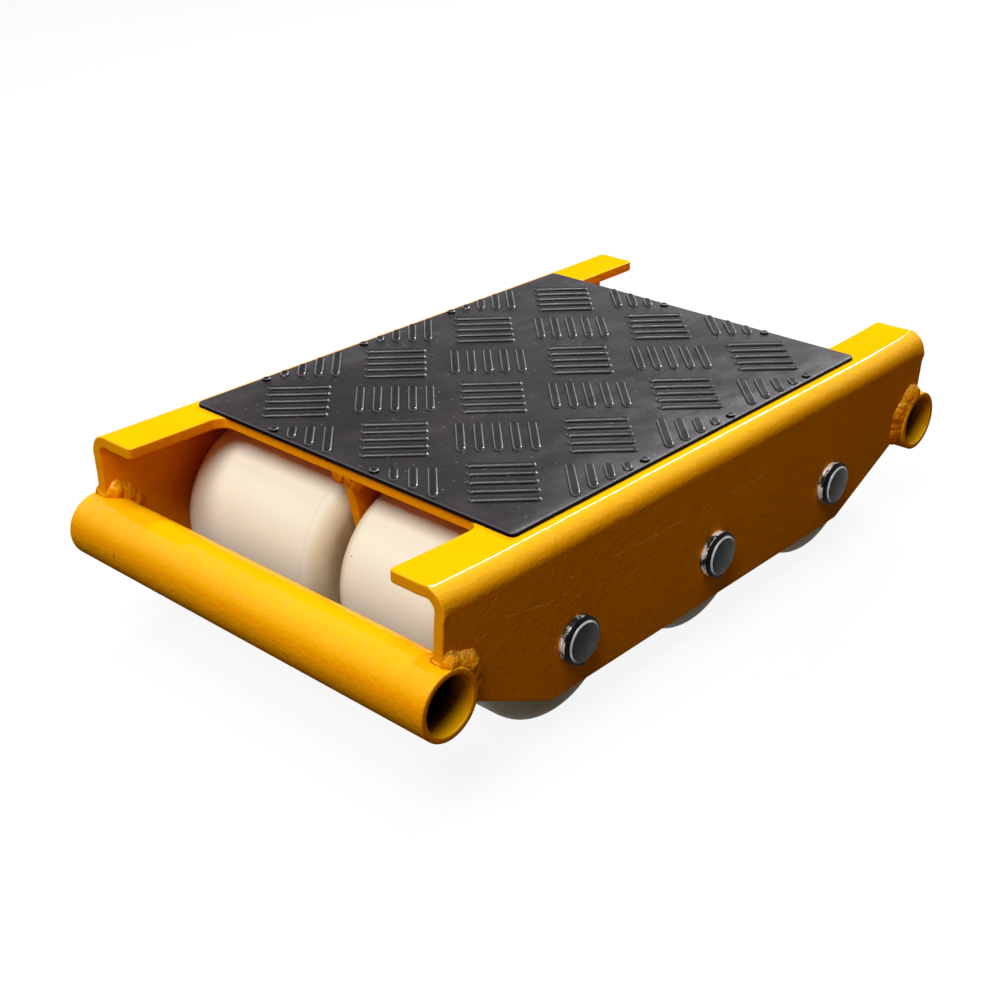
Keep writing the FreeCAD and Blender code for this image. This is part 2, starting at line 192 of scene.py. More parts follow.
# Rubber sheet with its tread
pad_thickness = 2.0 * MM
pad_corner_radius = 3.0 * MM
pad_rim_radius = 0.6 * MM
pad_edge_cuts = 70
pad_edge_wave = 0.12 * MM
pad_wave_rate = 90               # per metre
tread_pitch = 66.0 * MM
bar_count = 5
bar_pitch = 8.4 * MM
bar_length = 31.5 * MM
bar_width = 4.2 * MM
bar_height = 1.2 * MM
bar_end_slope = 1.5 * MM         # the bars' ends run down to the sheet more gently than their sides
bar_margin = 1.3 * MM
bar_segments = 16
bar_steps_mm = [(0.31, 0.035), (0.06, 0.875), (0.17, 0.105),     # inward and upward, from the foot to the top
                (0.19, 0.115), (0.2, 0.05), (0.40, 0.02)]
foot_flare = 0.38 * MM
foot_sink = 0.1 * MM             # a bar's hidden base lies this far below the sheet
flare_sink = 0.02 * MM
foot_height = 0.05 * MM
shortest_half_bar = 0.05 * MM
dot_reach = 5.5 * MM
pad_top = deck_top + pad_thickness

# Camera of the photograph
camera_place = (0.5395, 0.4610, 0.3896)
camera_azimuth = math.radians(132.0)
camera_elevation = math.radians(26.59)
camera_lens = 55.52
camera_sensor = 36.0

# Floor and light
floor_half = 12.0
floor_grey = (0.1, 0.1, 0.1, 1)
floor_glow = 0.9
lamp_target = Vector((0, 0, 0.05))
WHITE = (1, 1, 1, 1)


# Making pieces

def shaft_centre(axle):
    return Vector((AXLES[axle], 0, shaft_z))


def make_piece(name, bm, material, body, nodes, sharp=40):
    """A finished mesh that moves with a body and stands for the named nodes of the frame."""
    mesh = bpy.data.meshes.new(name)
    bm.to_mesh(mesh)
    bm.free()
    for face in mesh.polygons:
        face.use_smooth = True
    mesh.set_sharp_from_angle(angle=math.radians(sharp))
    mesh.materials.append(material)
    piece = bpy.data.objects.new(name, mesh)
    bpy.context.scene.collection.objects.link(piece)
    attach(piece, body)
    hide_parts(*nodes)
    return piece


def soften(piece, width, segments):
    """Rounds the sharp edges."""
    bevel = piece.modifiers.new("softened edges", "BEVEL")
    bevel.width = width
    bevel.segments = segments
    bevel.limit_method = "ANGLE"
    bevel.angle_limit = math.radians(50)
    bevel.use_clamp_overlap = False


def keep_faces_flat(piece):
    normals = piece.modifiers.new("flat faces", "WEIGHTED_NORMAL")
    normals.keep_sharp = True
    normals.weight = 60


def verts_of(geom):
    return [item for item in geom if isinstance(item, bmesh.types.BMVert)]


def face_outward(bm):
    bmesh.ops.recalc_face_normals(bm, faces=bm.faces[:])


def round_edges(bm, edges, radius, segments):
    bmesh.ops.bevel(bm, geom=edges, offset=radius, offset_type="OFFSET", affect="EDGES",
                    segments=segments, profile=0.5, material=-1, clamp_overlap=False)


def ring_of_edges(bm, points):
    """Joins points one after the other, and the last one to the first."""
    return [bm.edges.new(pair) for pair in zip(points, points[1:] + points[:1])]


def turned(bm, centre, outline, steps, closed=True):
    """Spins an outline of (radius, y) points once round an axis along Y."""
    points = [bm.verts.new(centre + Vector((radius, y, 0))) for radius, y in outline]
    if closed:
        edges = ring_of_edges(bm, points)
    else:
        edges = [bm.edges.new(pair) for pair in zip(points, points[1:])]
    bmesh.ops.spin(bm, geom=points + edges, cent=centre, axis=(0, 1, 0), angle=4 * QUARTER,
                   steps=steps, use_merge=True, use_duplicate=False)
    bmesh.ops.remove_doubles(bm, verts=bm.verts[:], dist=TINY)
    face_outward(bm)


def ring_edges(bm, centre, radius, y):
    """The edges of one circle of a turned shape."""
    found = []
    for edge in bm.edges:
        gaps = []
        for vert in edge.verts:
            reach = math.hypot(vert.co.x - centre.x, vert.co.z - centre.z)
            gaps.append(max(abs(reach - radius), abs(vert.co.y - y)))
        if max(gaps) < TINY:
            found.append(edge)
    return found


def fill_sheet(bm):
    """Fills a flat outline, leaving its inner circles open."""
    bmesh.ops.triangle_fill(bm, edges=bm.edges[:], use_beauty=False, use_dissolve=False, normal=(0, 0, 1))


def join_flat_faces(bm, angle=0.001):
    bmesh.ops.dissolve_limit(bm, angle_limit=angle, use_dissolve_boundaries=False,
                             verts=bm.verts[:], edges=bm.edges[:])


def flat_arc(bm, start, centre, angle, steps):
    """A round stretch of a flat outline; gives its first and last point."""
    first = bm.verts.new((*start, 0))
    spun = bmesh.ops.spin(bm, geom=[first], cent=(*centre, 0), axis=(0, 0, 1), angle=angle, steps=steps)
    return first, spun["geom_last"][0]


def hump(distance, width, power=2):
    """1 at no distance, falling smoothly to 0 beyond the width."""
    return math.exp(-(distance / width) ** power)


# The folded channel

def across_at(z):
    """How far from the sheet's middle a height on the flat side plate lies before folding."""
    return bend_end + (flat_top - z) / math.cos(lean)


def folded(across, depth):
    """Where a point of the flat plate ends up, as (y, z).

    The point is given by its distance from the middle and its depth below the outer face.
    """
    reach = abs(across)
    turn = min(max(reach - bend_start, 0) / bend_radius, bend_turn)
    beyond = max(reach - bend_end, 0)
    radius = bend_radius - depth
    y = min(reach, bend_start) + radius * math.sin(turn) - beyond * math.sin(lean)
    z = deck_top - bend_radius + radius * math.cos(turn) - beyond * math.cos(lean)
    return math.copysign(y, across), z


def lift_at(place):
    """How far the pull of the welds raises a point of an ear."""
    past = max(abs(place.x) - deck_half_length, 0) / ear_length
    height = (place.z - tube_top) / (deck_top - tube_top)
    return ear_lift["left" if place.y > 0 else "right"] * past ** 2 * min(max(height, 0), 1)


def blank_outline(bm):
    """The cut sheet before folding, with its end notches, ears, scoops and sloping corners."""
    middle = bm.verts.new((deck_half_length, 0, 0))
    notch_start = (deck_half_length, notch_half - notch_radius)
    notch_middle = (deck_half_length + notch_radius, notch_half - notch_radius)
    notch = flat_arc(bm, notch_start, notch_middle, angle=-QUARTER, steps=8)
    tip_middle = (tube_x - ear_radius, notch_half + ear_radius)
    tip = flat_arc(bm, (tube_x - ear_radius, notch_half), tip_middle, angle=QUARTER, steps=5)
    scoop_start = (tube_x, across_at(tube_top))
    scoop_middle = (tube_x, across_at(tube_z))
    scoop = flat_arc(bm, scoop_start, scoop_middle, angle=-(QUARTER + slope_contact), steps=28)
    foot = bm.verts.new((foot_x, across_at(side_bottom), 0))
    half_way = bm.verts.new((0, across_at(side_bottom), 0))
    straight = [(middle, notch[0]), (notch[1], tip[0]), (tip[1], scoop[0]), (scoop[1], foot),
                (foot, half_way)]
    for pair in straight:
        bm.edges.new(pair)
    for axis in "XY":
        bmesh.ops.mirror(bm, geom=bm.verts[:] + bm.edges[:], matrix=Matrix(), merge_dist=TINY, axis=axis)


def drill_holes(bm, across):
    for x in AXLES.values():
        bmesh.ops.create_circle(bm, cap_ends=False, segments=hole_steps, radius=hole_radius,
                                matrix=Matrix.Translation((x, across, 0)))


def cut_along(bm, place, direction, faces=None):
    """Divides the mesh, or only the given faces, along a plane."""
    geom = set(bm.faces[:] if faces is None else faces)
    for face in list(geom):
        geom.update(face.verts)
        geom.update(face.edges)
    bmesh.ops.bisect_plane(bm, geom=list(geom), dist=TINY / 10, plane_co=place, plane_no=direction)


def place_in_sheet(edge):
    """What an edge keeps when the sheet is thickened: the flat places of its two ends."""
    return frozenset(vert.co.xy.to_tuple(7) for vert in edge.verts)


def rounded_plate(bm, thickness, radius):
    """Gives a flat sheet its thickness and softens the edges of its outline."""
    outline = {place_in_sheet(edge) for edge in bm.edges if edge.is_boundary}
    lowered = bmesh.ops.extrude_face_region(bm, geom=bm.faces[:], use_keep_orig=True)
    bmesh.ops.translate(bm, vec=(0, 0, -thickness), verts=verts_of(lowered["geom"]))
    face_outward(bm)
    cut = [edge for edge in bm.edges if place_in_sheet(edge) in outline]
    round_edges(bm, cut, radius, segments=3)


def cut_for_bending(bm):
    """Lines along which the plate bends, is pulled up by the welds or carries the marks of the saw."""
    for side in SIDES.values():
        for step in range(bend_steps + 1):
            cut_along(bm, (0, side * (bend_start + bend_length * step / bend_steps), 0), (0, 1, 0))
    rows = [deck_half_length + ear_length * (row + first_row) / ear_rows for row in range(ear_rows)]
    for end in ENDS.values():
        for row in rows + [tube_x - saw_strip, tube_x - saw_strip / 2]:
            cut_along(bm, (end * row, 0, 0), (1, 0, 0))
    for side in SIDES.values():
        for step in range(int((across_at(tube_top) - notch_half) / saw_step)):
            at_ends = [face for face in bm.faces if abs(face.calc_center_median().x) > tube_x - saw_strip]
            cut_along(bm, (0, side * (notch_half + (step + 0.5) * saw_step), 0), (0, 1, 0), at_ends)


def shape_ears(bm):
    """The ears are pulled up a little; their sawn ends are uneven, with a burr where they are bent."""
    for vert in bm.verts:
        vert.co.z += lift_at(vert.co)
        nearness = min(1 + (abs(vert.co.x) - tube_x) / saw_strip, 1)
        if nearness > 0 and vert.co.z > tube_top:
            x, y, z = vert.co
            marks = noise.noise(Vector((x * marks_along, y * marks_across, z * marks_across)))
            burr = bend_burr["left" if y > 0 else "right"] * nearness ** 2
            outside = min(max(abs(y) - bend_start, 0) / bend_radius, 1)
            vert.co.x += math.copysign(saw_marks * marks * nearness, x)
            vert.co.y += math.copysign(burr * hump(z - flat_top, low_burr_spread) * outside, y)
            vert.co.z += top_burr_share * burr * hump(abs(y) - bend_start, top_burr_spread)


def folded_channel(material):
    bm = bmesh.new()
    blank_outline(bm)
    for side in SIDES.values():
        drill_holes(bm, side * across_at(shaft_z))
    fill_sheet(bm)
    join_flat_faces(bm)
    rounded_plate(bm, plate, plate_edge_radius)
    cut_for_bending(bm)
    for vert in bm.verts:
        if vert.co.y > 0 and vert.co.x < ear_radius - tube_x + TINY:
            vert.co.x -= rear_left_extra
        vert.co.y, vert.co.z = folded(vert.co.y, -vert.co.z)
    shape_ears(bm)
    channel = make_piece("folded_channel", bm, material, "frame", ["deck_channel"])
    keep_faces_flat(channel)


def centre_web(material):
    """The upright plate between the left and right rollers."""
    bm = bmesh.new()
    slant = math.tan(web_slant) * (web_high.z - web_low.z)
    corners = [(web_high.x, web_high.z), (web_high.x - slant, web_low.z)]
    corners += [(-x, z) for x, z in reversed(corners)]
    ring_of_edges(bm, [bm.verts.new((x, z, 0)) for x, z in corners])
    drill_holes(bm, shaft_z)
    fill_sheet(bm)
    join_flat_faces(bm)
    rounded_plate(bm, 2 * web_half, web_edge_radius)
    upright = Matrix.Rotation(QUARTER, 4, "X") @ Matrix.Translation((0, 0, web_half))
    bmesh.ops.transform(bm, matrix=upright, verts=bm.verts[:])
    web = make_piece("centre_web_plate", bm, material, "frame", ["centre_web"])
    keep_faces_flat(web)


# Weld beads

def puddle_swell(along, seed):
    """How much a weld swells at a distance along its run: big uneven puddles with fine ripples."""
    drift = noise.noise(Vector((along * drift_rate, seed * drift_between_welds, 0)))
    swell = least_swell
    for length, shift, wander, power, share in weld_waves:
        wave = abs(math.sin(math.pi * (along / length + seed * shift + wander * drift)))
        swell += share * wave ** power
    return swell


def chance_swell(place, seed):
    """How much lumps of three sizes swell a weld at a place."""
    shifted = place + Vector((seed * lumps_between_welds, 0, 0))
    return sum(share * noise.noise(shifted * rate) for rate, share in weld_lumps)


def tapered(share, power, least):
    """The size of a weld at a share of its length, with rounded ends."""
    return math.sqrt(max(1 - abs(2 * share - 1) ** power, least))


def bead_section(on_plate, on_tube, steps=14):
    """Outline of a weld from the plate to the tube: sunk root, toes that run out flat and a round middle."""
    section = [(-bead_root, -bead_root)]
    for step in range(steps + 1):
        turn = QUARTER * step / steps
        crown = bead_crown * on_tube * math.sin(2 * turn) ** 2 - toe_sink
        away = on_tube * math.sin(turn) ** toe_power + crown
        out = on_plate * math.cos(turn) ** toe_power + crown
        section.append((away, out))
    return section


def spin_on(bm, geom, centre, axis, angle, steps):
    """Carries a section on round an axis and gives the section that it ends with."""
    spun = bmesh.ops.spin(bm, geom=geom, cent=centre, axis=axis, angle=angle, steps=steps,
                          use_merge=False, use_duplicate=False)
    return spun["geom_last"]


def tube_bead_solid(bm):
    """A plain weld along a side plate's outer face, round the plate's end and back inside."""
    centre = Vector((tube_x, 0, tube_z))
    points = []
    for away, out in bead_section(bead_on_plate, bead_on_tube):
        points.append(bm.verts.new((tube_x, side_outer + away, tube_top + out)))
    edges = ring_of_edges(bm, points)
    bmesh.ops.rotate(bm, cent=centre, matrix=Matrix.Rotation(-bead_reach, 3, "Y"), verts=points)
    bm.faces.new(points)
    plate_end = Vector((tube_x, plate_middle, 0))
    section = spin_on(bm, points + edges, centre, (0, 1, 0), bead_reach, bead_steps_on_tube)
    section = spin_on(bm, section, plate_end, (0, 0, -1), 2 * QUARTER, bead_steps_round_end)
    section = spin_on(bm, section, centre, (0, 1, 0), -bead_reach, bead_steps_on_tube)
    bm.faces.new(verts_of(section))


def tube_bead_root(place):
    """For a point of a tube's weld: its root, its distance along the weld and how far it overshoots."""
    if place.x > tube_x + TINY:
        around = math.atan2(place.x - tube_x, place.y - plate_middle)
        overshoot = plate / 2 * math.sin(around)
        root = Vector((tube_x + overshoot, plate_middle + plate / 2 * math.cos(around), tube_top))
        return root, bead_straight + around * plate / 2, overshoot
    turn = math.atan2(tube_x - place.x, place.z - tube_z)
    outer = 1 if place.y > plate_middle else -1
    root = Vector((tube_x - tube_radius * math.sin(turn), plate_middle + outer * plate / 2,
                   tube_z + tube_radius * math.cos(turn)))
    return root, bead_length / 2 - outer * (math.pi * plate / 4 + turn * tube_radius), 0


def tube_bead_size(along):
    """A tube's weld is thin where it passes the plate's end and far along the inside."""
    past_end = along - bead_length / 2
    at_end = 1 - thin_share * hump(past_end - thin_place, thin_reach, power=4)
    inside = inside_share + (1 - inside_share) * hump(max(past_end - inside_run, 0), inside_fade)
    return tapered(along / bead_length, bead_taper, bead_least) * at_end * inside


def tube_bead(bm, end, side, seed):
    """A weld where a side plate's end stands on a cross tube, with its puddles and lumps."""
    known = set(bm.verts)
    tube_bead_solid(bm)
    bead = [vert for vert in bm.verts if vert not in known]
    for vert in bead:
        root, along, overshoot = tube_bead_root(vert.co)
        swell = tube_bead_size(along) * (puddle_swell(along, seed) + chance_swell(vert.co, seed))
        vert.co = root + (vert.co - root) * swell
        vert.co.x -= overshoot
        ahead = max(vert.co.x - tube_x, 0)
        vert.co.z -= tube_radius - math.sqrt(tube_radius ** 2 - ahead ** 2)
        vert.co.y += (vert.co.z - shaft_z) * math.tan(lean)
    bmesh.ops.transform(bm, matrix=Matrix.Diagonal((end, side, 1, 1)), verts=bead)


def mark_as_weld(bm):
    """Marks a weld for the paint, which draws the whole bead toward the deeper, shaded amber and shows its
    rough skin.
    """
    weld = bm.verts.layers.float.new("weld")
    for vert in bm.verts:
        vert[weld] = 1


def tube_beads(name, end, material):
    bm = bmesh.new()
    for side, seed in zip(SIDES.values(), bead_seeds[name]):
        tube_bead(bm, end, side, seed)
    face_outward(bm)
    mark_as_weld(bm)
    make_piece(name + "_tube_beads", bm, material, "frame", [name + "_tube_welds"], sharp=80)


def web_beads(material):
    """The long fillet welds that hang the web under the deck."""
    half_length = web_high.x + web_bead_overhang
    step = (2 * half_length / web_bead_steps, 0, 0)
    bm = bmesh.new()
    for side in SIDES.values():
        points = []
        for away, down in bead_section(web_bead_leg, web_bead_leg, steps=8):
            across = web_half + away if away > -bead_root else 0
            points.append(bm.verts.new((-half_length, side * across, web_high.z - down)))
        edges = ring_of_edges(bm, points)
        bm.faces.new(points)
        bmesh.ops.spin(bm, geom=points + edges, cent=(0, 0, 0), dvec=step, axis=(1, 0, 0), angle=0,
                       steps=web_bead_steps, use_merge=False, use_duplicate=False)
    bmesh.ops.holes_fill(bm, edges=[edge for edge in bm.edges if edge.is_boundary])
    bm.verts.index_update()
    for vert in bm.verts:
        side = 1 if vert.index < len(bm.verts) / 2 else -1
        root = Vector((vert.co.x, side * web_half, web_high.z))
        taper = tapered((vert.co.x / half_length + 1) / 2, web_bead_taper, web_bead_least)
        at_end = 1 + end_lump * hump(half_length - abs(vert.co.x), end_lump_spread)
        swell = taper * at_end * (puddle_swell(vert.co.x, side) + chance_swell(vert.co, side))
        if abs(vert.co.y) > TINY:
            vert.co = root + (vert.co - root) * swell
    face_outward(bm)
    mark_as_weld(bm)
    make_piece("web_beads", bm, material, "frame", ["web_welds"], sharp=80)


# Cross tubes, axles and what holds them

def cross_tube(name, end, material):
    centre = Vector((end * tube_x, 0, tube_z))
    inner = tube_radius - tube_wall
    reach = tube_half_length
    bore = [(inner, reach - depth) for depth in paint_depths]
    wall = [(tube_radius, -reach), (tube_radius, reach)]
    bm = bmesh.new()
    turned(bm, centre, [(radius, -y) for radius, y in reversed(bore)] + wall + bore, LARGE_ROUND)
    for y in (-reach, reach):
        round_edges(bm, ring_edges(bm, centre, tube_radius, y), tube_rim_radius, segments=4)
        round_edges(bm, ring_edges(bm, centre, inner, y), bore_rim_radius, segments=3)
    # Bare steel and painted shade: deeper in the bore the paint gives way to a near-black colour.
    bare = bm.verts.layers.float.new("bare_and_shaded_bore")
    for vert in bm.verts:
        inside = math.hypot(vert.co.x - centre.x, vert.co.z - centre.z) < inner + TINY
        depth = reach - abs(vert.co.y)
        vert[bare] = min(depth / paint_depths[-1], 1) if inside else 0
    make_piece(name + "_cross_tube", bm, material, "frame", [name + "_tube"])


def axle_shaft(name, material):
    centre = shaft_centre(name)
    groove_radius = shaft_radius - groove_depth
    groove_inner = washers_high.y
    groove_outer = groove_inner + groove_width
    half = [(0, shaft_half_length), (shaft_radius, shaft_half_length), (shaft_radius, groove_outer),
            (groove_radius, groove_outer), (groove_radius, groove_inner), (shaft_radius, groove_inner)]
    outline = half + [(radius, -y) for radius, y in reversed(half)]
    bm = bmesh.new()
    turned(bm, centre, outline, SMALL_ROUND, closed=False)
    for y in (-shaft_half_length, shaft_half_length):
        round_edges(bm, ring_edges(bm, centre, shaft_radius, y), shaft_chamfer, segments=2)
    reach = bm.verts.layers.float.new("reach")
    upper_front = bm.verts.layers.float.new("upper_front")
    for vert in bm.verts:
        ahead = vert.co.x - centre.x
        above = vert.co.z - centre.z
        vert[reach] = math.hypot(ahead, above)
        vert[upper_front] = (lit_ahead * ahead + lit_above * above) / shaft_radius
    make_piece(name + "_axle_shaft", bm, material, "frame", [name + "_axle"])


def washer(bm, centre, low, high):
    inner = shaft_radius + shaft_clearance
    outer = washers_high.z - shaft_z
    ring = bmesh.new()
    turned(ring, centre, [(inner, low), (outer, low), (outer, high), (inner, high)], SMALL_ROUND)
    for y in (low, high):
        round_edges(ring, ring_edges(ring, centre, outer, y), washer_edge_radius, segments=3)
    mesh = bpy.data.meshes.new("washer")
    ring.to_mesh(mesh)
    ring.free()
    bm.from_mesh(mesh)
    bpy.data.meshes.remove(mesh)


def washer_set(material):
    """Two washers between the side plate and the circlip at each axle end."""
    bm = bmesh.new()
    thickness = (washers_high.y - side_outer) / washers_per_end
    for axle in AXLES:
        for side in SIDES.values():
            for index in range(washers_per_end):
                near = side_outer + index * thickness
                low, high = sorted((side * near, side * (near + thickness)))
                washer(bm, shaft_centre(axle), low, high)
    make_piece("washer_set", bm, material, "frame", ["axle_washers"])


def circlip_set(material):
    """The spring rings keep the frame's own shape, with their edges broken."""
    bm = bmesh.new()
    bm.from_mesh(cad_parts["axle_circlips"].data)
    bmesh.ops.remove_doubles(bm, verts=bm.verts[:], dist=TINY)
    join_flat_faces(bm, angle=0.02)
    circlips = make_piece("circlip_set", bm, material, "frame", ["axle_circlips"])
    soften(circlips, circlip_edge_radius, segments=2)
    keep_faces_flat(circlips)


def nylon_roller(axle, side, material):
    name = axle + "_" + side
    low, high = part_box(name + "_roller")
    centre = shaft_centre(axle)
    radius = (high.z - low.z) / 2
    turned_down = radius - roller_lip
    low_seat, high_seat = low.y + bearing_seat_depth, high.y - bearing_seat_depth
    low_shoulder, high_shoulder = low.y + roller_shoulder, high.y - roller_shoulder
    outline = [(bearing_seat, low.y), (turned_down, low.y), (turned_down, low_shoulder),
               (radius, low_shoulder + roller_lip), (radius, high_shoulder - roller_lip),
               (turned_down, high_shoulder), (turned_down, high.y), (bearing_seat, high.y),
               (bearing_seat, high_seat), (roller_bore, high_seat), (roller_bore, low_seat),
               (bearing_seat, low_seat)]
    bm = bmesh.new()
    turned(bm, centre, outline, LARGE_ROUND)
    for y in (low.y, high.y):
        round_edges(bm, ring_edges(bm, centre, turned_down, y), roller_end_radius, segments=12)
        round_edges(bm, ring_edges(bm, centre, bearing_seat, y), bearing_seat_edge, segments=2)
    make_piece(name + "_nylon", bm, material, name + "_roller_set", [name + "_roller"])


# Rubber sheet

def pad_sheet(bm):
    half_x = pad_high.x
    half_y = pad_high.y
    corners = [(half_x, half_y), (-half_x, half_y), (-half_x, -half_y), (half_x, -half_y)]
    bm.faces.new([bm.verts.new((x, y, deck_top)) for x, y in corners])
    bmesh.ops.bevel(bm, geom=bm.verts[:], offset=pad_corner_radius, offset_type="OFFSET", affect="VERTICES",
                    segments=6, profile=0.5, material=-1, clamp_overlap=False)
    long_edges = [edge for edge in bm.edges if edge.calc_length() > 10 * pad_corner_radius]
    bmesh.ops.subdivide_edges(bm, edges=long_edges, cuts=pad_edge_cuts)
    for vert in bm.verts:
        wave = noise.noise(Vector((vert.co.x, vert.co.y, 0)) * pad_wave_rate) * pad_edge_wave
        vert.co.x -= math.copysign(abs(wave), vert.co.x)
        vert.co.y -= math.copysign(abs(wave), vert.co.y)
    lifted = bmesh.ops.extrude_face_region(bm, geom=bm.faces[:], use_keep_orig=True)
    bmesh.ops.translate(bm, vec=(0, 0, pad_thickness), verts=verts_of(lifted["geom"]))
    face_outward(bm)
    rim = [edge for edge in bm.edges if all(vert.co.z > pad_top - TINY for vert in edge.verts)]
    round_edges(bm, rim, pad_rim_radius, segments=3)


def tread_bar(bm, start, stop):
    """One raised bar between two points: flared foot, steep sides and a softly rounded top."""
    # The foot is marked for the painted shade ring that the rubber draws round each bar.
    foot = bm.verts.layers.float["bar_foot"]
    middle = (start + stop) / 2
    run = stop - start
    turn = math.atan2(run.y, run.x) + math.pi / bar_segments
    place = Matrix.Translation((middle.x, middle.y, pad_top - foot_sink)) @ Matrix.Rotation(turn, 4, "Z")
    made = bmesh.ops.create_circle(bm, cap_ends=True, segments=bar_segments,
                                   radius=bar_width / 2 + foot_flare, matrix=place)
    base = made["verts"][0].link_faces[0]
    for vert in made["verts"]:
        ahead = (vert.co.xy - middle.xy).dot(run.xy)
        vert.co.xy += run.xy / 2 * math.copysign(1, ahead)
    lifted = bmesh.ops.extrude_face_region(bm, geom=[base], use_keep_orig=True)
    top = [item for item in lifted["geom"] if isinstance(item, bmesh.types.BMFace)]
    points = verts_of(lifted["geom"])
    bmesh.ops.translate(bm, vec=(0, 0, foot_sink - flare_sink), verts=points)
    for vert in made["verts"] + points:
        vert[foot] = 1
    known = set(bm.verts)
    for inward, upward in bar_steps_mm:
        bmesh.ops.inset_region(bm, faces=top, thickness=inward * MM, depth=upward * MM, use_even_offset=True)
    slope = min(bar_end_slope, run.length / 4)
    for vert in set(bm.verts) - known:
        ahead = math.copysign(1, (vert.co.xy - middle.xy).dot(run.xy))
        vert.co.xy -= run.xy.normalized() * ahead * slope * (vert.co.z - pad_top) / bar_height
        vert[foot] = 1 if vert.co.z < pad_top + foot_height else 0


def bar_span(centre, direction):
    """Where a bar's centre line starts and stops, kept inside the sheet's bare margin."""
    half = (bar_length - bar_width) / 2
    margin = bar_margin + bar_width / 2
    start, stop = -half, half
    for axis in (0, 1):
        limit = pad_high[axis] - margin
        crossings = sorted((edge - centre[axis]) / direction[axis] for edge in (-limit, limit))
        start = max(start, crossings[0])
        stop = min(stop, crossings[1])
    if 0 < start - stop < dot_reach:
        start = stop = stop if stop < -half else start
    return start, stop


def tread_group(bm, x, y, turn):
    """Five parallel bars at 45 degrees, cut back where they would pass the margin."""
    direction = Vector((turn, 1, 0)).normalized()
    across = Vector((1, -turn, 0)).normalized()
    shortest = direction * shortest_half_bar
    for index in range(bar_count):
        centre = Vector((x, y, 0)) + across * (index - (bar_count - 1) / 2) * bar_pitch
        start, stop = bar_span(centre, direction)
        if start <= stop:
            tread_bar(bm, centre + direction * start - shortest, centre + direction * stop + shortest)


def tread_pad(material):
    bm = bmesh.new()
    bm.verts.layers.float.new("bar_foot")
    pad_sheet(bm)
    columns = round(2 * pad_high.x / tread_pitch)
    rows = round(2 * pad_high.y / tread_pitch)
    for column in range(columns):
        for row in range(rows):
            x = (column - (columns - 1) / 2) * tread_pitch
            y = (row - (rows - 1) / 2) * tread_pitch
            tread_group(bm, x, y, -1)
    for column in range(columns + 1):
        for row in range(rows + 1):
            if not (column in (0, columns) and row in (0, rows)):
                tread_group(bm, (column - columns / 2) * tread_pitch, (row - rows / 2) * tread_pitch, 1)
    face_outward(bm)
    make_piece("tread_pad", bm, material, "frame", ["rubber_pad"], sharp=45)


# Shader nodes

def put(socket, value):
    if isinstance(value, bpy.types.NodeSocket):
        socket.id_data.links.new(value, socket)
    else:
        socket.default_value = value


def add(tree, kind, inputs=None, **settings):
    """A shader node with its settings, and values or links for its named or numbered inputs."""
    node = tree.nodes.new("ShaderNode" + kind)
    for name, value in settings.items():
        setattr(node, name, value)
    for name, value in (inputs or {}).items():
        put(node.inputs[name], value)
    return node


def compute(operation, first, second=0.0):
    """A calculation with sockets or numbers, at least one of them a socket."""
    tree = first.id_data if isinstance(first, bpy.types.NodeSocket) else second.id_data
    return add(tree, "Math", {0: first, 1: second}, operation=operation).outputs[0]


def scaled(value, factor):
    return compute("MULTIPLY", value, factor)


def opposite(mask):
    return compute("SUBTRACT", 1.0, mask)


def rise(value, low, high):
    """A smooth step from 0 at low to 1 at high."""
    inputs = {"Value": value, "From Min": low, "From Max": high}
    return add(value.id_data, "MapRange", inputs, interpolation_type="SMOOTHSTEP").outputs["Result"]


def between(share, low, high):
    """Low where the share is 0 and high where it is 1."""
    return add(share.id_data, "MapRange", {"Value": share, "To Min": low, "To Max": high}).outputs[0]


def blend(share, first, second):
    inputs = {"Factor": share, 6: first, 7: second}
    return add(share.id_data, "Mix", inputs, data_type="RGBA").outputs[2]


def cover(colour, mask, strength, over):
    """Lays a colour over another one where a mask shows."""
    return blend(scaled(mask, strength), colour, over)


def object_place(tree):
    return add(tree, "TexCoord").outputs["Object"]


def parts(vector):
    """The X, Y and Z of a vector."""
    return add(vector.id_data, "SeparateXYZ", {0: vector}).outputs


def facing_parts(tree):
    """The X, Y and Z of the way that a surface faces."""
    return parts(add(tree, "NewGeometry").outputs["Normal"])


def attribute(tree, name):
    return add(tree, "Attribute", attribute_name=name).outputs["Fac"]


def stretched(place, scale, turn=(0.0, 0.0, 0.0)):
    return add(place.id_data, "Mapping", {"Vector": place, "Scale": scale, "Rotation": turn}).outputs[0]


def cloud(place, scale, detail, roughness=0.5):
    """Values that change smoothly from place to place."""
    inputs = {"Vector": place, "Scale": scale, "Detail": detail, "Roughness": roughness}
    return add(place.id_data, "TexNoise", inputs).outputs[0]


def vectors(operation, first, second):
    """A calculation with two vectors; gives the node's outputs."""
    return add(first.id_data, "VectorMath", {0: first, 1: second}, operation=operation).outputs


def bump(height, distance, strength=1.0, under=None):
    inputs = {"Height": height, "Distance": distance, "Strength": strength}
    if under is not None:
        inputs["Normal"] = under
    return add(height.id_data, "Bump", inputs).outputs[0]


# Node groups that several finishes share

def new_group(name, vector_inputs, number_inputs, output):
    """An empty group that takes vectors and numbers and puts out one value."""
    tree = bpy.data.node_groups.new(name, "ShaderNodeTree")
    for label in vector_inputs:
        tree.interface.new_socket(label, in_out="INPUT", socket_type="NodeSocketVector")
    for label, value in number_inputs.items():
        socket = tree.interface.new_socket(label, in_out="INPUT", socket_type="NodeSocketFloat")
        socket.default_value = value
    tree.interface.new_socket(output, in_out="OUTPUT", socket_type="NodeSocketFloat")
    given = tree.nodes.new("NodeGroupInput").outputs
    wanted = tree.nodes.new("NodeGroupOutput").inputs
    return tree, given, wanted[output]


def use_group(group, inputs):
    """A group's one output, with the given values for its inputs."""
    node = inputs["Vector"].id_data.nodes.new("ShaderNodeGroup")
    node.node_tree = group
    for name, value in inputs.items():
        put(node.inputs[name], value)
    return node.outputs[0]


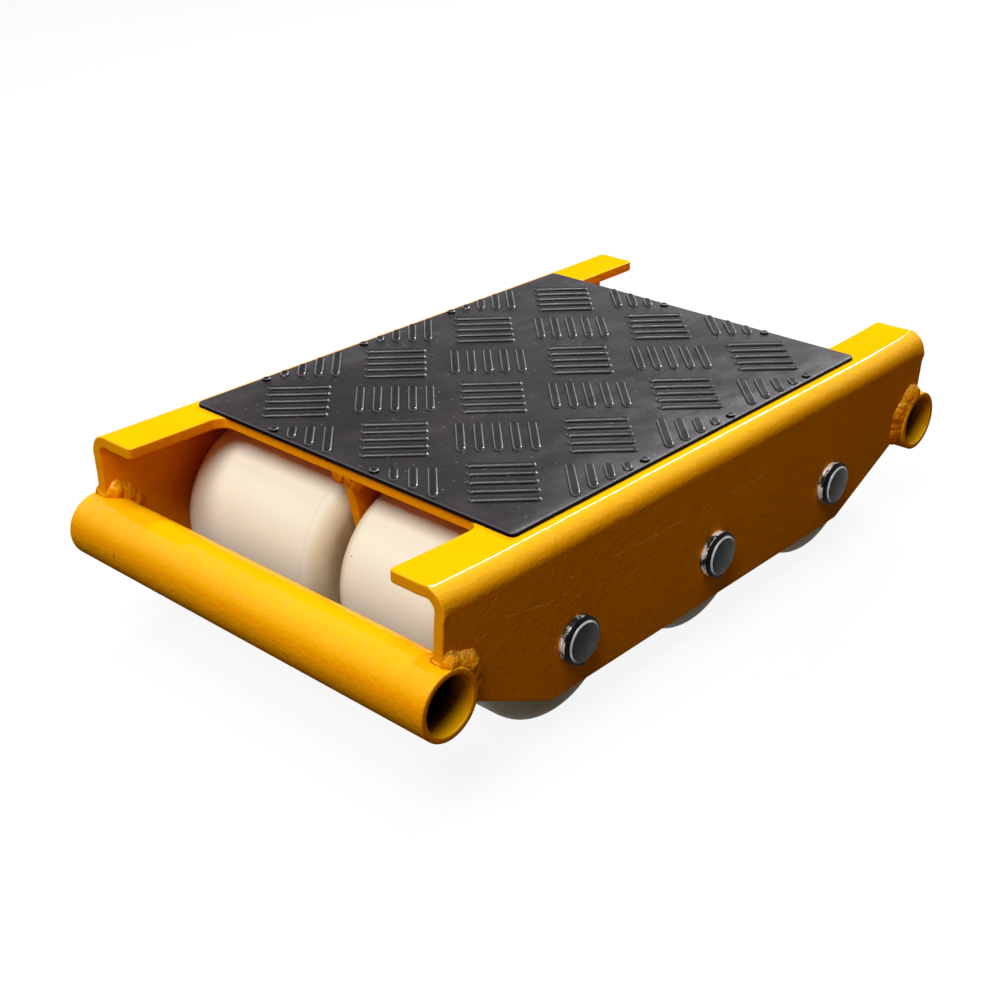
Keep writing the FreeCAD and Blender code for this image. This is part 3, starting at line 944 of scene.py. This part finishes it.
def fine_grain_group():
    """Small surface unevenness in two sizes, as on sprayed paint or moulded rubber."""
    tree, given, height = new_group("fine grain", ["Vector"], {"Scale": 600.0}, "Height")
    small = cloud(given["Vector"], given["Scale"], detail=3.0, roughness=0.55)
    wide = cloud(given["Vector"], scaled(given["Scale"], factor=0.22), detail=1.0)
    put(height, compute("ADD", small, scaled(wide, factor=0.8)))
    return tree


def mottle_group():
    """Soft patches that come and go over a surface."""
    numbers = {"Scale": 20.0, "Low": 0.4, "High": 0.65}
    tree, given, mask = new_group("mottle", ["Vector"], numbers, "Mask")
    patches = cloud(given["Vector"], given["Scale"], detail=5.0, roughness=0.6)
    put(mask, rise(patches, given["Low"], given["High"]))
    return tree


def specks_group():
    """Scattered dots of dirt or chipped paint."""
    numbers = {"Scale": 300.0, "Amount": 0.05, "Size": 0.25}
    tree, given, mask = new_group("specks", ["Vector"], numbers, "Mask")
    cells = add(tree, "TexVoronoi", {"Vector": given["Vector"], "Scale": given["Scale"]})
    chance = add(tree, "SeparateColor", {"Color": cells.outputs["Color"]}).outputs
    chosen = compute("LESS_THAN", chance["Red"], given["Amount"])
    radius = scaled(given["Size"], compute("ADD", chance["Green"], 0.35))
    core = scaled(radius, factor=0.5)
    dot = opposite(rise(cells.outputs["Distance"], core, radius))
    put(mask, scaled(chosen, dot))
    return tree


def scratches_group():
    """Thin broken lines that run along the stretched direction of the given vector."""
    numbers = {"Scale": 12.0, "Width": 0.006, "Amount": 0.55}
    tree, given, mask = new_group("scratches", ["Vector"], numbers, "Mask")
    lines = cloud(given["Vector"], given["Scale"], detail=2.0, roughness=0.4)
    offset = compute("ABSOLUTE", compute("SUBTRACT", lines, 0.5))
    line = opposite(rise(offset, 0.0, given["Width"]))
    breaks = cloud(given["Vector"], scaled(given["Scale"], factor=2.7), detail=3.0)
    shown = rise(breaks, given["Amount"], compute("ADD", given["Amount"], 0.06))
    put(mask, scaled(line, shown))
    return tree


def stroke_group():
    """A fine line between two points on a surface; with no run between them, a dot."""
    tree, given, mask = new_group("stroke", ["Vector", "Start", "Run"], {"Width": 0.4 * MM}, "Mask")
    run = given["Run"]
    here = vectors("SUBTRACT", given["Vector"], given["Start"])[0]
    ahead = vectors("DOT_PRODUCT", here, run)["Value"]
    whole = compute("MAXIMUM", vectors("DOT_PRODUCT", run, run)["Value"], TINY ** 2)
    share = add(tree, "Math", {0: ahead, 1: whole}, operation="DIVIDE", use_clamp=True).outputs[0]
    nearest = add(tree, "VectorMath", {0: run, "Scale": share}, operation="SCALE").outputs[0]
    gap = vectors("DISTANCE", here, nearest)["Value"]
    core = scaled(given["Width"], factor=0.4)
    put(mask, opposite(rise(gap, core, given["Width"])))
    return tree


GRAIN = fine_grain_group()
MOTTLE = mottle_group()
SPECKS = specks_group()
SCRATCHES = scratches_group()
STROKE = stroke_group()


def grained(place, scale):
    return use_group(GRAIN, {"Vector": place, "Scale": scale})


def mottled(place, scale, low, high):
    return use_group(MOTTLE, {"Vector": place, "Scale": scale, "Low": low, "High": high})


def speckled(place, scale, amount, size):
    return use_group(SPECKS, {"Vector": place, "Scale": scale, "Amount": amount, "Size": size})


def scratched(place, scale, width, amount):
    return use_group(SCRATCHES, {"Vector": place, "Scale": scale, "Width": width, "Amount": amount})


def stroked(place, start, run, width):
    return use_group(STROKE, {"Vector": place, "Start": start, "Run": run, "Width": width})


# Finishes

def new_material(name):
    material = bpy.data.materials.new(name)
    material.use_nodes = True
    tree = material.node_tree
    return material, tree, tree.nodes["Principled BSDF"].inputs


def plate_point(x, z):
    """A point on the left side plate's outer face."""
    return Vector((x, side_outer + (z - shaft_z) * math.tan(lean), z))


def plate_marks(place):
    """Scratches and dings on the left side plate, as masks."""
    lines = 0.0
    for start, stop in plate_scratches:
        start, stop = plate_point(*start), plate_point(*stop)
        lines = compute("MAXIMUM", stroked(place, start, stop - start, scratch_width), lines)
    streaks = stretched(place, (0.35, 1.0, 1.0))
    gaps = mottled(streaks, scale=420.0, low=0.42, high=0.56)
    dots = 0.0
    for spot in plate_dings:
        dot = stroked(place, plate_point(*spot), Vector((0, 0, 0)), ding_width)
        dots = compute("MAXIMUM", dot, dots)
    return scaled(lines, gaps), dots


def painted_light_share(facing, weld, skin):
    """1 where painted light is drawn (upward faces, and half on sawn ends), 0 where painted shade is drawn
    (side faces; welds lean to it).
    """
    on_top = rise(facing["Z"], low=-0.25, high=0.9)
    on_ends = rise(compute("ABSOLUTE", facing["X"]), low=0.7, high=0.98)
    lit_share = compute("MAXIMUM", on_top, scaled(on_ends, factor=0.5))
    weld_deepening = compute("SUBTRACT", scaled(weld, factor=0.5), scaled(skin, factor=0.3))
    return scaled(lit_share, opposite(weld_deepening))


def glossy_yellow_paint():
    material, tree, shader = new_material("glossy_yellow_paint")
    place = object_place(tree)
    facing = facing_parts(tree)
    patches = mottled(place, scale=14.0, low=0.35, high=0.7)
    # Painted light and shade: a deep amber stands for the shaded side faces, a bright yellow for the lit tops
    # and sawn ends.
    shaded_amber = blend(patches, (0.86, 0.2, 0.0008, 1), (0.9, 0.22, 0.0008, 1))
    lit_yellow = blend(patches, (0.95, 0.455, 0.0012, 1), (0.97, 0.485, 0.0016, 1))
    weld = attribute(tree, "weld")
    skin = scaled(mottled(place, scale=330.0, low=0.35, high=0.65), weld)
    colour = blend(painted_light_share(facing, weld, skin), shaded_amber, lit_yellow)
    along = stretched(place, (0.7, 9.0, 30.0), (0.0, 0.10, 0.0))
    on_sides = rise(compute("ABSOLUTE", facing["Y"]), low=0.8, high=0.95)
    rubs = scaled(scratched(along, scale=11.0, width=0.008, amount=0.57), on_sides)
    colour = cover(colour, rubs, strength=0.2, over=(1.0, 0.55, 0.06, 1))
    lines, dings = plate_marks(place)
    colour = cover(colour, lines, strength=0.8, over=(1.0, 0.50, 0.07, 1))
    colour = blend(dings, colour, (1.0, 0.66, 0.30, 1))
    chips = speckled(place, scale=90.0, amount=0.035, size=0.09)
    colour = cover(colour, chips, strength=0.75, over=(0.16, 0.075, 0.015, 1))
    # Bare steel and painted shade: the bore turns near black with depth.
    bare = rise(attribute(tree, "bare_and_shaded_bore"), low=0.1, high=1.0)
    colour = blend(bare, colour, (0.012, 0.006, 0.003, 1))
    put(shader["Base Color"], colour)
    dull = mottled(place, scale=45.0, low=0.2, high=0.8)
    put(shader["Roughness"], between(dull, low=0.12, high=0.2))
    surface = bump(grained(place, scale=480.0), distance=0.45 * MM, strength=0.8)
    surface = bump(skin, distance=0.5 * MM, under=surface)
    surface = bump(compute("MAXIMUM", rubs, chips), distance=-0.04 * MM, under=surface)
    surface = bump(compute("MAXIMUM", lines, dings), distance=-0.15 * MM, under=surface)
    put(shader["Normal"], surface)
    level = rise(facing["Z"], low=0.978, high=0.998)
    on_bends = compute("SUBTRACT", rise(facing["Z"], low=0.4, high=0.8), level)
    gloss = between(mottled(place, scale=300.0, low=0.35, high=0.65), low=0.22, high=0.6)
    put(shader["Coat Weight"], scaled(on_bends, gloss))
    shader["Coat Roughness"].default_value = 0.1
    shader["Specular IOR Level"].default_value = 0.0
    return material


def charcoal_rubber():
    material, tree, shader = new_material("charcoal_rubber")
    place = object_place(tree)
    scuffs = mottled(place, scale=26.0, low=0.45, high=0.75)
    colour = blend(scuffs, (0.0145, 0.0118, 0.0144, 1), (0.034, 0.0288, 0.0334, 1))
    dust = speckled(place, scale=420.0, amount=0.10, size=0.3)
    colour = cover(colour, dust, strength=0.35, over=(0.22, 0.20, 0.21, 1))
    along = stretched(place, (6.0, 20.0, 6.0), (0.0, 0.0, 0.6))
    marks = scratched(along, scale=10.0, width=0.006, amount=0.58)
    colour = cover(colour, marks, strength=0.4, over=(0.16, 0.15, 0.16, 1))
    height = parts(place)["Z"]
    on_tops = rise(height, pad_top + 0.5 * bar_height, pad_top + bar_height)
    rubbed = scaled(mottled(place, scale=170.0, low=0.4, high=0.66), on_tops)
    colour = cover(colour, rubbed, strength=0.5, over=(0.062, 0.055, 0.061, 1))
    upward = facing_parts(tree)["Z"]
    # Painted highlight, partly wear: the rounded rims of the sheet and the bars are drawn lighter.
    level = rise(upward, low=0.96, high=0.998)
    rim = scaled(rise(upward, low=0.4, high=0.6), opposite(level))
    colour = cover(colour, rim, strength=0.4, over=(0.09, 0.082, 0.088, 1))
    # Painted shade: the steep sides of the bars and a ring round each bar's foot are drawn near black.
    foot = attribute(tree, "bar_foot")
    side = opposite(rise(upward, low=0.3, high=0.55))
    dark = compute("MAXIMUM", side, scaled(foot, factor=0.85))
    colour = blend(dark, colour, (0.0008, 0.0006, 0.0008, 1))
    put(shader["Base Color"], colour)
    put(shader["Coat Weight"], scaled(rim, opposite(foot)))
    shader["Coat Roughness"].default_value = 0.22
    smeared = stretched(place, (1.0, 2.2, 1.0), (0.0, 0.0, 0.5))
    dull = mottled(smeared, scale=38.0, low=0.32, high=0.68)
    put(shader["Roughness"], between(dull, low=0.42, high=0.6))
    put(shader["Normal"], bump(grained(place, scale=900.0), 0.06 * MM, strength=0.8))
    shader["Specular IOR Level"].default_value = 0.05
    return material


def cream_nylon():
    material, tree, shader = new_material("cream_nylon")
    place = object_place(tree)
    patches = mottled(place, scale=18.0, low=0.3, high=0.75)
    colour = blend(patches, (0.83, 0.785, 0.635, 1), (0.87, 0.83, 0.69, 1))
    # Browner towards the roller's ends, more so in some patches.
    across = compute("ABSOLUTE", parts(place)["Y"])
    from_end = compute("MINIMUM", compute("SUBTRACT", across, roller_low.y),
                       compute("SUBTRACT", roller_high.y, across))
    browner_at_ends = opposite(rise(from_end, 0.2 * roller_shoulder, roller_shoulder))
    browner_at_ends = scaled(browner_at_ends, between(patches, low=0.5, high=0.9))
    colour = blend(browner_at_ends, colour, (0.56, 0.40, 0.19, 1))
    off_lip = compute("ABSOLUTE", compute("SUBTRACT", from_end, roller_shoulder))
    lip_line = opposite(rise(off_lip, low=0.1 * MM, high=0.45 * MM))
    colour = cover(colour, lip_line, strength=0.25, over=(0.62, 0.50, 0.36, 1))
    beside_lip = opposite(rise(off_lip, low=0.4 * MM, high=2.2 * MM))
    dirt = scaled(speckled(place, scale=420.0, amount=0.16, size=0.22), beside_lip)
    colour = cover(colour, dirt, strength=0.8, over=(0.20, 0.11, 0.05, 1))
    put(shader["Base Color"], colour)
    put(shader["Normal"], bump(grained(place, scale=700.0), 0.04 * MM, strength=0.6))
    shader["Roughness"].default_value = 0.55
    shader["Specular IOR Level"].default_value = 0.2
    shader["Subsurface Weight"].default_value = 0.25
    shader["Subsurface Radius"].default_value = (1.0, 0.7, 0.4)
    shader["Subsurface Scale"].default_value = 3 * MM
    return material


def dark_axle_steel():
    material, tree, shader = new_material("dark_axle_steel")
    place = object_place(tree)
    stains = mottled(place, scale=130.0, low=0.35, high=0.7)
    colour = blend(stains, (0.009, 0.0105, 0.0103, 1), (0.017, 0.0190, 0.0190, 1))
    reach = attribute(tree, "reach")
    # Painted highlight: the machined chamfer is drawn near white only on its upper front side, where the lamp
    # lights it.
    past_face = rise(reach, shaft_radius - 1.15 * MM, shaft_radius - 0.95 * MM)
    past_chamfer = rise(reach, shaft_radius - 0.3 * MM, shaft_radius - 0.1 * MM)
    lit_side = rise(attribute(tree, "upper_front"), low=-0.5, high=0.5)
    chamfer_highlight = scaled(compute("SUBTRACT", past_face, past_chamfer), lit_side)
    chamfer_highlight = scaled(chamfer_highlight, between(stains, low=0.6, high=1.1))
    colour = blend(chamfer_highlight, colour, (0.95, 0.95, 0.95, 1))
    put(shader["Base Color"], colour)
    put(shader["Roughness"], between(stains, low=0.34, high=0.5))
    rings = compute("SINE", scaled(reach, factor=9000.0))
    surface = bump(grained(place, scale=500.0), distance=0.06 * MM, strength=0.7)
    surface = bump(scaled(rings, factor=0.15), distance=0.02 * MM, strength=0.5, under=surface)
    put(shader["Normal"], surface)
    shader["Metallic"].default_value = 0.2
    shader["Specular IOR Level"].default_value = 0.08
    return material


def plain_finish(name, dark, light, roughness, patch_scale, patch, grain_scale, grain_depth, grain_strength):
    """Two tones in patches that also differ in polish, with a fine grain."""
    material, tree, shader = new_material(name)
    place = object_place(tree)
    patches = mottled(place, patch_scale, *patch)
    put(shader["Base Color"], blend(patches, dark, light))
    put(shader["Roughness"], between(patches, *roughness))
    put(shader["Normal"], bump(grained(place, grain_scale), grain_depth, grain_strength))
    return material, shader


def plain_metal(name, dark, light, roughness, grain_depth, metallic=1.0, gloss=0.5, patch=(0.3, 0.7)):
    """Zinc, spring steel and bearing steel differ in colour, polish and unevenness."""
    material, shader = plain_finish(name, dark, light, roughness, patch_scale=150.0, patch=patch,
                                    grain_scale=420.0, grain_depth=grain_depth, grain_strength=0.8)
    shader["Metallic"].default_value = metallic
    shader["Specular IOR Level"].default_value = gloss
    return material


def moulded(name, dark, light, roughness):
    """Bearing seals and ball cages: plain moulded rubber and plastic."""
    return plain_finish(name, dark, light, roughness, patch_scale=90.0, patch=(0.3, 0.7),
                        grain_scale=800.0, grain_depth=0.03 * MM, grain_strength=0.6)[0]


def bright_zinc():
    # Uneven zinc; its sharp dark and near-white patches are partly painted glints and dark reflections.
    return plain_metal("bright_zinc", (0.03, 0.027, 0.022, 1), (0.92, 0.90, 0.82, 1), roughness=(0.3, 0.45),
                       grain_depth=0.25 * MM, metallic=0.3, gloss=0.2, patch=(0.46, 0.58))


def black_spring_steel():
    return plain_metal("black_spring_steel", (0.003, 0.003, 0.0035, 1), (0.008, 0.008, 0.009, 1),
                       roughness=(0.5, 0.65), grain_depth=0.04 * MM, metallic=0.0, gloss=0.08)


def dress_hidden_bearings():
    """The bearings keep the frame's own shapes and get their finishes."""
    steel = plain_metal("ground_bearing_steel", (0.48, 0.49, 0.50, 1), (0.60, 0.61, 0.62, 1),
                        roughness=(0.18, 0.3), grain_depth=0.01 * MM)
    rubber = moulded("black_seal_rubber", (0.014, 0.014, 0.016, 1), (0.03, 0.03, 0.033, 1), (0.5, 0.65))
    plastic = moulded("green_cage_plastic", (0.07, 0.12, 0.06, 1), (0.12, 0.18, 0.09, 1), (0.4, 0.55))
    finishes = {"outer_rings": steel, "inner_rings": steel, "balls": steel, "sleeve": steel,
                "spacers": steel, "seals": rubber, "cages": plastic}
    for name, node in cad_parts.items():
        for ending, finish in finishes.items():
            if name.endswith(ending):
                node.data.materials.clear()
                node.data.materials.append(finish)


# Floor, light and camera

def seen_directly(tree):
    """1 for what the camera sees, also through reflections and glass."""
    light = add(tree, "LightPath").outputs
    seen = compute("MAXIMUM", light["Is Camera Ray"], light["Is Glossy Ray"])
    return compute("MAXIMUM", seen, light["Is Transmission Ray"])


def pale_floor():
    material = bpy.data.materials.new("pale_floor")
    material.use_nodes = True
    tree = material.node_tree
    tree.nodes.clear()
    matt = add(tree, "BsdfDiffuse", {"Color": floor_grey}).outputs[0]
    strength = scaled(seen_directly(tree), floor_glow)
    glow = add(tree, "Emission", {"Color": WHITE, "Strength": strength}).outputs[0]
    both = add(tree, "AddShader", {0: matt, 1: glow}).outputs[0]
    add(tree, "OutputMaterial", {"Surface": both})
    bm = bmesh.new()
    bmesh.ops.create_grid(bm, x_segments=1, y_segments=1, size=floor_half)
    mesh = bpy.data.meshes.new("floor")
    bm.to_mesh(mesh)
    bm.free()
    mesh.materials.append(material)
    floor = bpy.data.objects.new("floor", mesh)
    bpy.context.scene.collection.objects.link(floor)


def white_room(ambient):
    world = bpy.data.worlds.new("white_room")
    world.use_nodes = True
    tree = world.node_tree
    sky = tree.nodes["Background"].inputs
    sky["Color"].default_value = WHITE
    put(sky["Strength"], between(seen_directly(tree), ambient, 1.0))
    bpy.context.scene.world = world


def softbox(name, start, stop, height, power):
    """A soft lamp that stretches from start to stop and faces the object."""
    start, stop = Vector(start), Vector(stop)
    middle = (start + stop) / 2
    sideways = (stop - start).normalized()
    forward = (lamp_target - middle).normalized()
    upward = sideways.cross(forward).normalized()
    backward = sideways.cross(upward)
    lamp = bpy.data.lights.new(name, "AREA")
    lamp.shape = "RECTANGLE"
    lamp.size = (stop - start).length
    lamp.size_y = height
    lamp.energy = power
    holder = bpy.data.objects.new(name, lamp)
    aim = Matrix((sideways, upward, backward)).transposed().to_4x4()
    holder.matrix_world = Matrix.Translation(middle) @ aim
    bpy.context.scene.collection.objects.link(holder)


def place_camera():
    data = bpy.data.cameras.new("camera")
    data.lens = camera_lens
    data.sensor_width = camera_sensor
    camera = bpy.data.objects.new("camera", data)
    back = Vector((math.sin(camera_azimuth) * math.cos(camera_elevation),
                   -math.cos(camera_azimuth) * math.cos(camera_elevation), math.sin(camera_elevation)))
    camera.location = camera_place
    camera.rotation_euler = (-back).to_track_quat("-Z", "Y").to_euler()
    bpy.context.scene.collection.objects.link(camera)
    bpy.context.scene.camera = camera


def main():
    paint = glossy_yellow_paint()
    folded_channel(paint)
    centre_web(paint)
    web_beads(paint)
    for name, end in ENDS.items():
        cross_tube(name, end, paint)
        tube_beads(name, end, paint)
    steel = dark_axle_steel()
    for axle in AXLES:
        axle_shaft(axle, steel)
    washer_set(bright_zinc())
    circlip_set(black_spring_steel())
    nylon = cream_nylon()
    for axle in AXLES:
        for side in SIDES:
            nylon_roller(axle, side, nylon)
    tread_pad(charcoal_rubber())
    dress_hidden_bearings()
    pale_floor()
    white_room(ambient=0.042)
    softbox("overhead_light", (0.98, -0.36, 1.72), (0.98, 0.78, 1.72), height=1.1, power=37.0)
    softbox("top_light", (-0.22, 0.1, 1.9), (0.22, 0.1, 1.9), height=0.44, power=7.0)
    softbox("back_light", (-1.05, -0.86, 1.64), (-2.15, -0.47, 1.06), height=0.05, power=36.0)
    place_camera()
    bpy.context.scene.view_settings.view_transform = "Standard"


main()
